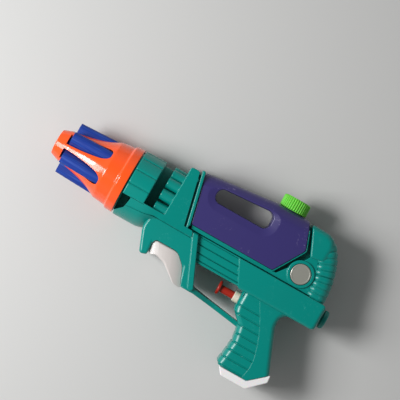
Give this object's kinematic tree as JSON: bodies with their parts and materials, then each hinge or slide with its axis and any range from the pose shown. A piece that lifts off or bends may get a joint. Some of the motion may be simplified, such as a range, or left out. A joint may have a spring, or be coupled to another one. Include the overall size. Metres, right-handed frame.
{
  "type": "water squirter",
  "caption": "Toy water squirter with a finned nozzle, a refillable tank with a carry-handle slot, a screw cap and a spring-return trigger pump in the grip.",
  "frame": {"origin": "on the floor under the middle of the squirter's overall box, with the squirter lying on its right side", "axes": "+X from the muzzle to the back, +Y up the squirter's own height (grip foot to cap), +Z out of its left side, which faces up"},
  "size_m": [0.2498, 0.1472, 0.0548],
  "materials": {
    "teal_plastic": "glossy moulded teal",
    "orange_plastic": "glossy moulded orange",
    "blue_plastic": "glossy moulded blue",
    "purple_plastic": "blow-moulded purple with a soft sheen",
    "lime_plastic": "moulded lime green",
    "red_plastic": "moulded red",
    "white_plastic": "plain white",
    "grey_plastic": "moulded pale grey",
    "silver_plastic": "silver-grey, shiny",
    "tube_plastic": "milky flexible tube",
    "seal_rubber": "black rubber",
    "spring_steel": "bright steel"
  },
  "bodies": {
    "squirter": {"left_casing": "teal_plastic", "right_casing": "teal_plastic", "rear_plug": "teal_plastic", "nozzle_cone": "orange_plastic", "fin_core": "blue_plastic", "nozzle_jet": "white_plastic", "water_tank": "purple_plastic", "plunger_bush": "white_plastic", "pump_cylinder": "white_plastic", "suction_tube": "tube_plastic", "outlet_tube": "tube_plastic", "foregrip_insert": "grey_plastic", "left_disc": "silver_plastic", "right_disc": "silver_plastic", "grip_base": "white_plastic", "casing_screw_1": "spring_steel", "casing_screw_2": "spring_steel", "casing_screw_3": "spring_steel", "casing_screw_4": "spring_steel", "casing_screw_5": "spring_steel", "casing_screw_6": "spring_steel", "casing_screw_7": "spring_steel"},
    "trigger": {"trigger_plunger": "red_plastic", "piston_seal": "seal_rubber", "return_spring": "spring_steel"},
    "cap_carrier": {"cap_seal": "seal_rubber"},
    "cap": {"fill_cap": "lime_plastic"},
    "inlet_valve": {"inlet_ball": "spring_steel"},
    "outlet_valve": {"outlet_ball": "spring_steel"}
  },
  "joints": [
    {"name": "trigger_slide", "type": "slide", "parent": "squirter", "child": "trigger", "axis": [1, 0, 0], "range_m": [0, 0.0105], "stiffness_N_per_m": 500, "springref_m": -0.002, "deforming": ["return_spring"]},
    {"name": "cap_lift", "type": "slide", "parent": "squirter", "child": "cap_carrier", "axis": [0, 1, 0], "range_m": [0, 0.006]},
    {"name": "cap_turn", "type": "hinge", "parent": "cap_carrier", "child": "cap", "pos_m": [0.06048, 0.06325, 0.0274], "axis": [0, 1, 0], "range_deg": [0, 720]},
    {"name": "inlet_ball_lift", "type": "slide", "parent": "squirter", "child": "inlet_valve", "axis": [0, 1, 0], "range_m": [0, 0.0012]},
    {"name": "outlet_ball_lift", "type": "slide", "parent": "squirter", "child": "outlet_valve", "axis": [0, 1, 0], "range_m": [0, 0.0012]}
  ],
  "couplings": [
    {"joint": "cap_turn", "follows": "cap_lift", "rad_per_m": 2094.4}
  ]
}
